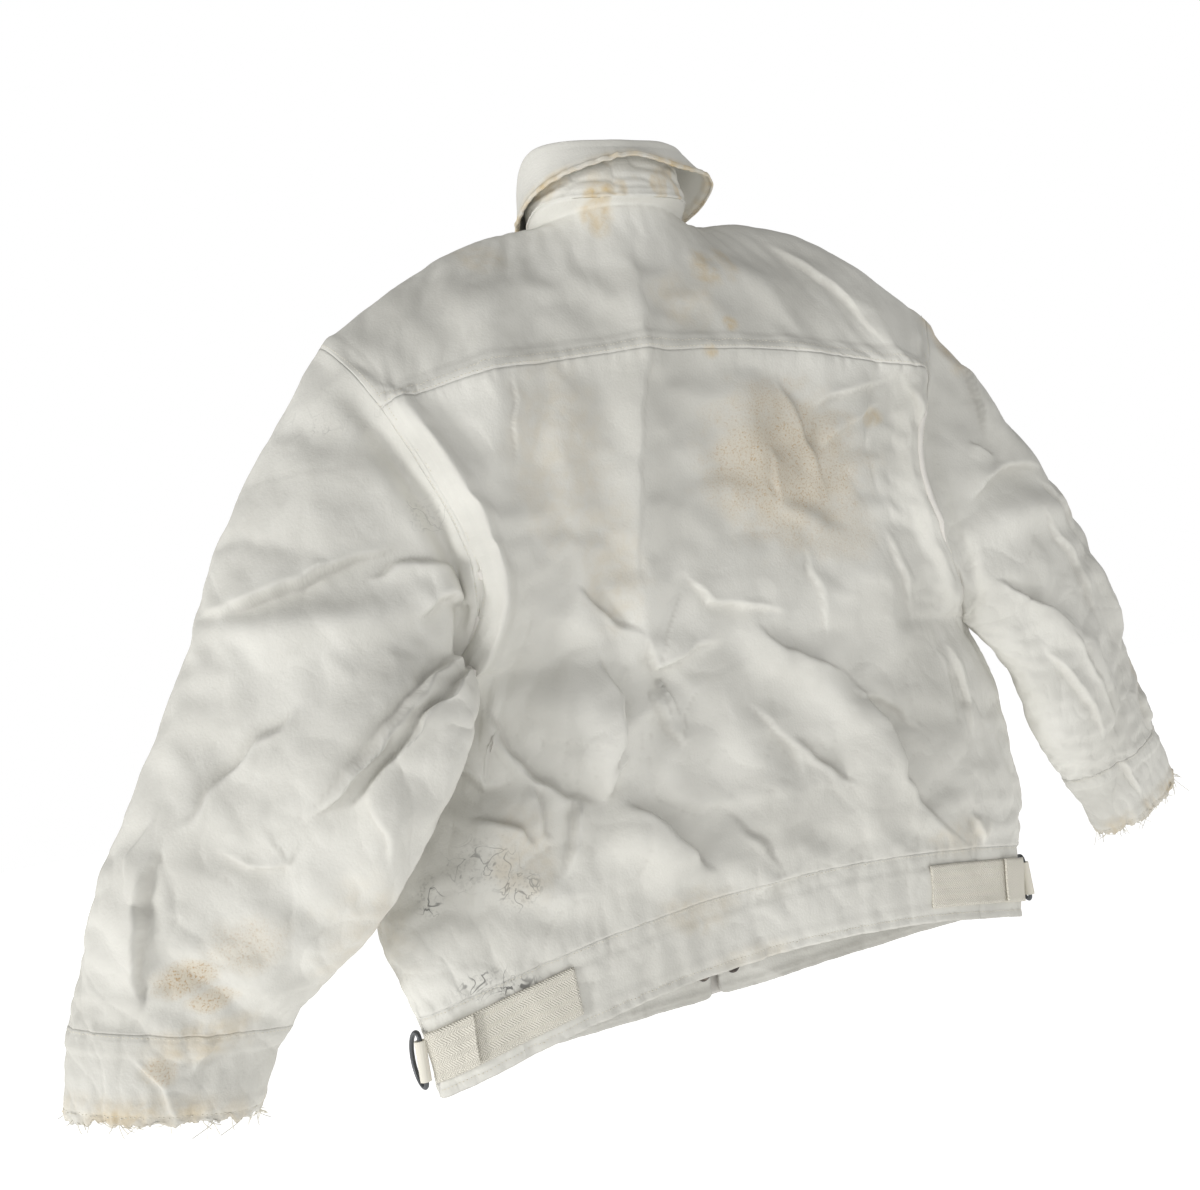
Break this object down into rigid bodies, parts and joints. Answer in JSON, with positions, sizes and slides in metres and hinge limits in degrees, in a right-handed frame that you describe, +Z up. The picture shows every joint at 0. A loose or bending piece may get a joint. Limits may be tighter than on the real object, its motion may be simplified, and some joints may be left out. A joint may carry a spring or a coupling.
{
  "type": "padded work jacket",
  "caption": "Padded canvas work jacket with stand-and-fall collar, back yoke, two sleeves with cuffs, waistband with webbing tabs and D-rings, and a zip under a snapped storm flap.",
  "frame": {"origin": "where the neck of a clothes hanger stands, level with the collar seam at the centre back, on the jacket's centre plane", "axes": "+Z up, +X towards the wearer's left, +Y towards the back of the jacket"},
  "size_m": [1.1835, 0.1816, 0.8139],
  "materials": {
    "canvas": "washed off-white cotton canvas, matt, stained",
    "lining": "quilted cotton lining, matt",
    "webbing": "cream herringbone cotton webbing",
    "ring_metal": "blackened steel, worn",
    "snap_metal": "dark antique metal",
    "zip_tape": "woven zip tape"
  },
  "bodies": {
    "root": {"back_panel": "canvas", "back_yoke": "canvas", "back_waistband": "canvas", "left_front_panel": "canvas", "right_front_panel": "canvas", "left_front_waistband": "canvas", "right_front_waistband": "canvas", "left_pocket": "canvas", "right_pocket": "canvas", "collar_stand": "canvas", "collar_fall": "canvas", "flap_root": "canvas", "back_lining": "lining", "left_front_lining": "lining", "right_front_lining": "lining", "hang_loop": "webbing", "left_webbing": "webbing", "right_webbing": "webbing", "left_ring_loop": "webbing", "right_ring_loop": "webbing", "snap_stud_1": "snap_metal", "snap_stud_2": "snap_metal", "snap_stud_3": "snap_metal", "snap_stud_4": "snap_metal", "snap_stud_5": "snap_metal", "snap_stud_6": "snap_metal", "snap_stud_7": "snap_metal", "left_zip_tape": "zip_tape", "right_zip_tape": "zip_tape"},
    "left_sleeve": {"left_top_sleeve": "canvas", "left_under_sleeve": "canvas", "left_cuff": "canvas"},
    "right_sleeve": {"right_top_sleeve": "canvas", "right_under_sleeve": "canvas", "right_cuff": "canvas"},
    "left_ring": {"left_d_ring": "ring_metal"},
    "right_ring": {"right_d_ring": "ring_metal"},
    "front_flap": {"storm_flap": "canvas", "snap_cap_1": "snap_metal", "snap_cap_2": "snap_metal", "snap_cap_3": "snap_metal", "snap_cap_4": "snap_metal", "snap_cap_5": "snap_metal", "snap_cap_6": "snap_metal", "snap_cap_7": "snap_metal", "snap_socket_1": "snap_metal", "snap_socket_2": "snap_metal", "snap_socket_3": "snap_metal", "snap_socket_4": "snap_metal", "snap_socket_5": "snap_metal", "snap_socket_6": "snap_metal", "snap_socket_7": "snap_metal"},
    "zip_slider_body": {"zip_slider": "ring_metal", "zip_pull": "ring_metal"}
  },
  "joints": [
    {"name": "left_sleeve_swing", "type": "hinge", "parent": "root", "child": "left_sleeve", "pos_m": [0.297, 0.006, -0.109], "axis": [0, -1, 0], "range_deg": [0, 45]},
    {"name": "right_sleeve_swing", "type": "hinge", "parent": "root", "child": "right_sleeve", "pos_m": [-0.324, 0.026, -0.118], "axis": [0, 1, 0], "range_deg": [0, 45]},
    {"name": "left_ring_hinge", "type": "hinge", "parent": "root", "child": "left_ring", "pos_m": [0.30776, 0.01484, -0.70375], "axis": [0, 0, 1], "range_deg": [0, 120]},
    {"name": "right_ring_hinge", "type": "hinge", "parent": "root", "child": "right_ring", "pos_m": [-0.32296, 0.01564, -0.70172], "axis": [0, 0, -1], "range_deg": [0, 120]},
    {"name": "storm_flap_hinge", "type": "hinge", "parent": "root", "child": "front_flap", "pos_m": [0.028, -0.0815, -0.4], "axis": [0, 0, 1], "range_deg": [0, 150]},
    {"name": "zip_slide", "type": "slide", "parent": "root", "child": "zip_slider_body", "axis": [0, 0, -1], "range_m": [0, 0.53]}
  ]
}
